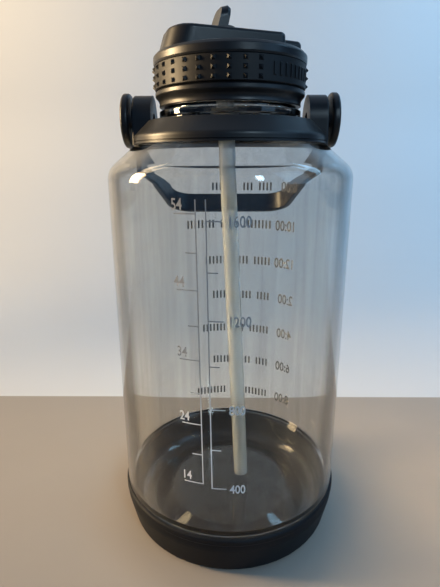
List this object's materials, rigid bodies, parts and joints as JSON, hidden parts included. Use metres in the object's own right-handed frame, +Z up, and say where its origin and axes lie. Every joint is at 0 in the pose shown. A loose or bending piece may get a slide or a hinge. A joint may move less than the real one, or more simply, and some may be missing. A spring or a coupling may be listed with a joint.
{
  "type": "drinking bottle",
  "caption": "Large clear drinking bottle with a screw lid, flip spout, straw, swinging carry handle and a soft boot round its base.",
  "frame": {"origin": "centre of the flat underside of the boot, on the bottle's own axis", "axes": "+Z up along the bottle's axis; -Y is the side with the volume scale, and the handle lies folded towards +Y; +X completes a right-handed frame"},
  "size_m": [0.1186, 0.1662, 0.2587],
  "materials": {
    "tinted_clear": "clear, lightly smoke-tinted, smooth",
    "boot_rubber": "matt black soft rubber",
    "black_plastic": "satin black moulded plastic",
    "grip_rubber": "matt black soft rubber",
    "spout_plastic": "satin black moulded plastic",
    "seal_rubber": "translucent white silicone",
    "straw_plastic": "milky translucent plastic",
    "pin_metal": "plain steel"
  },
  "bodies": {
    "bottle": {"bottle_body": "tinted_clear", "base_boot": "boot_rubber", "handle_collar": "black_plastic"},
    "handle": {"carry_handle": "black_plastic", "pivot_pin_left": "pin_metal", "pivot_pin_right": "pin_metal", "pivot_cap_left": "black_plastic", "pivot_cap_right": "black_plastic"},
    "gasket": {"lid_gasket": "seal_rubber"},
    "lid": {"lid_cap": "black_plastic", "grip_band": "grip_rubber", "spout_hood": "black_plastic", "spout_pin": "pin_metal", "spout_seal": "seal_rubber", "straw": "straw_plastic", "straw_socket": "seal_rubber", "vent_valve": "seal_rubber"},
    "spout": {"spout": "spout_plastic"}
  },
  "joints": [
    {"name": "handle_fold", "type": "hinge", "parent": "bottle", "child": "handle", "pos_m": [0, 0, 0.2115], "axis": [1, 0, 0], "range_deg": [0, 229.2]},
    {"name": "lid_lift", "type": "slide", "parent": "bottle", "child": "gasket", "axis": [0, 0, 1], "range_m": [0, 0.00876]},
    {"name": "lid_turn", "type": "hinge", "parent": "gasket", "child": "lid", "pos_m": [0, 0, 0.2165], "axis": [0, 0, 1], "range_deg": [0, 630]},
    {"name": "spout_flip", "type": "hinge", "parent": "lid", "child": "spout", "pos_m": [-0.00285, -0.00093, 0.2434], "axis": [0.309, -0.9511, 0], "range_deg": [0, 88]}
  ],
  "couplings": [
    {"joint": "lid_lift", "follows": "lid_turn", "m_per_rad": 0.00079577}
  ]
}
